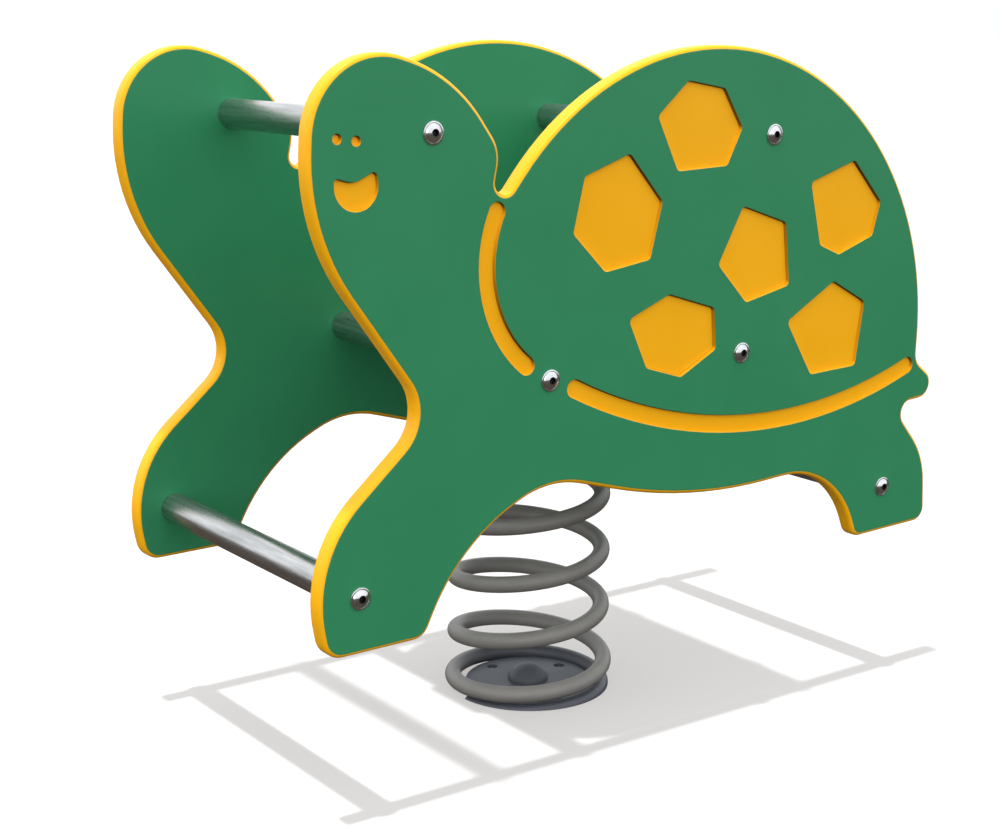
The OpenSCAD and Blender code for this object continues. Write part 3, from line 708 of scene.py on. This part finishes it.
# Backrest clips, brackets and their fasteners
# Bent stainless strips: two hook over the backrest bar, two are angles behind the
# board on the seat. Small domed bolts and nuts hold them.
strip_ease = 0.0005
small_bolt_ease = 0.0003
small_nut_ease = 0.0004
add_piece("backrest_clips_bent", eased("backrest_clips", strip_ease), "rider",
          ["backrest_clips"], bar_steel)
add_piece("backrest_brackets_bent", eased("backrest_brackets", strip_ease), "rider",
          ["backrest_brackets"], bar_steel)
for node in ("backrest_clip_bolts", "bracket_bolts"):
    add_piece(node + "_domed", eased(node, small_bolt_ease), "rider", [node], bolt_steel)
for node in ("backrest_clip_nuts", "bracket_nuts"):
    add_piece(node + "_eased", eased(node, small_nut_ease), "rider", [node], zinc)

# Side panels
# Two turtles of 22 mm sandwich board. The shell plates, the grooves and the eyes are
# milled through the green skin into the yellow core; all edges are rounded over.
milled_depth = 0.004
for side in ("left_panel", "right_panel"):
    panel = rounded_plate(side, 1, edge_round, edge_segments, milled_depth)
    add_piece(side + "_routed", panel, "rider", [side],
              two_tone_board(side + " board", side, 1))

# Panel bolts
# A domed stainless bolt at each end of the six bars, through the panel into the plug,
# with its flange flat on the green face.
for node, outwards in (("left_panel_bolts", 1), ("right_panel_bolts", -1)):
    panel_low, panel_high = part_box(node.replace("_bolts", ""))
    face_y = panel_high.y if outwards > 0 else panel_low.y
    low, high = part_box(node)
    shank = (face_y - low.y) if outwards > 0 else (high.y - face_y)
    bolts = bmesh.new()
    for bar in bars:
        middle_of_bar = sum(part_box(bar), Vector()) / 2
        spot = Matrix.Translation((middle_of_bar.x, face_y, middle_of_bar.z))
        domed_bolt(bolts, bolt_d, shank, spot @ Matrix.Rotation(-outwards * pi / 2, 4, "X"))
    domed = add_piece(node + "_domed", bolts, "rider", [node], bolt_steel)
    # The second material paints shade inside the bolt sockets.
    domed.data.materials.append(black_steel_and_socket_shade)

# Floor and light
# A plain white studio floor, which shines brown like bare ground in the steel, under a
# pale sky. One lamp overhead lights the rider, a second draws its shadow on the floor
# alone, and a wide one fills from the camera's side.
floor_white = (0.20, 0.198, 0.196, 1)
floor_glow = 0.5
ground_brown = (0.034, 0.026, 0.0215, 1)
sky_low, sky_high = 1.34, 1.55
floor_mesh = bmesh.new()
bmesh.ops.create_grid(floor_mesh, x_segments=1, y_segments=1, size=40)
floor_data = bpy.data.meshes.new("floor")
floor_mesh.to_mesh(floor_data)
floor_mesh.free()
floor = bpy.data.objects.new("floor", floor_data)
bpy.context.collection.objects.link(floor)
floor_paint, tree, shader, _ = new_material("floor paint")
ray = add_node(tree, "ShaderNodeLightPath")
seen_colour = mix_colours(tree, ray.outputs["Is Camera Ray"], ground_brown, floor_white)
tree.links.new(seen_colour, shader.inputs["Base Color"])
shader.inputs["Roughness"].default_value = 1
shader.inputs["Specular IOR Level"].default_value = 0
shader.inputs["Emission Color"].default_value = (1, 0.97, 0.945, 1)
glow = spread(tree, ray.outputs["Is Camera Ray"], 0, floor_glow)
tree.links.new(glow, shader.inputs["Emission Strength"])
floor_data.materials.append(floor_paint)

room = bpy.data.worlds.new("pale sky")
room.use_nodes = True
tree = room.node_tree
tree.nodes.clear()
aim = add_node(tree, "ShaderNodeTexCoord").outputs["Generated"]
height = add_node(tree, "ShaderNodeSeparateXYZ", {"Vector": aim}).outputs["Z"]
sky = spread(tree, height, sky_low, sky_high)
around = add_node(tree, "ShaderNodeBackground", {"Color": (0.96, 0.98, 1, 1), "Strength": sky})
seen = add_node(tree, "ShaderNodeBackground", {"Color": (1, 1, 1, 1), "Strength": 1.0})
ray = add_node(tree, "ShaderNodeLightPath")
both = add_node(tree, "ShaderNodeMixShader")
tree.links.new(ray.outputs["Is Camera Ray"], both.inputs[0])
tree.links.new(around.outputs[0], both.inputs[1])
tree.links.new(seen.outputs[0], both.inputs[2])
tree.links.new(both.outputs[0], add_node(tree, "ShaderNodeOutputWorld").inputs["Surface"])
bpy.context.scene.world = room


def add_lamp(name, towards, energy, angle, shadow):
    """A far lamp that shines along a direction, as wide as an angle makes it."""
    lamp = bpy.data.objects.new(name, bpy.data.lights.new(name, "SUN"))
    lamp.data.energy = energy
    lamp.data.angle = radians(angle)
    lamp.data.use_shadow = shadow
    lamp.rotation_euler = Vector(towards).to_track_quat("-Z", "Y").to_euler()
    bpy.context.collection.objects.link(lamp)
    return lamp


overhead = (-0.12, 0, -1)
add_lamp("overhead lamp", overhead, energy=2.2, angle=2.5, shadow=True)
floor_only = bpy.data.collections.new("lit by the floor lamp")
floor_only.objects.link(floor)
floor_lamp = add_lamp("floor lamp", overhead, energy=4.4, angle=1.2, shadow=True)
floor_lamp.light_linking.receiver_collection = floor_only
from_camera = (-0.75, -0.62, -0.22)
add_lamp("camera fill", from_camera, energy=0.6, angle=40, shadow=False)
bpy.context.scene.view_settings.view_transform = "Standard"
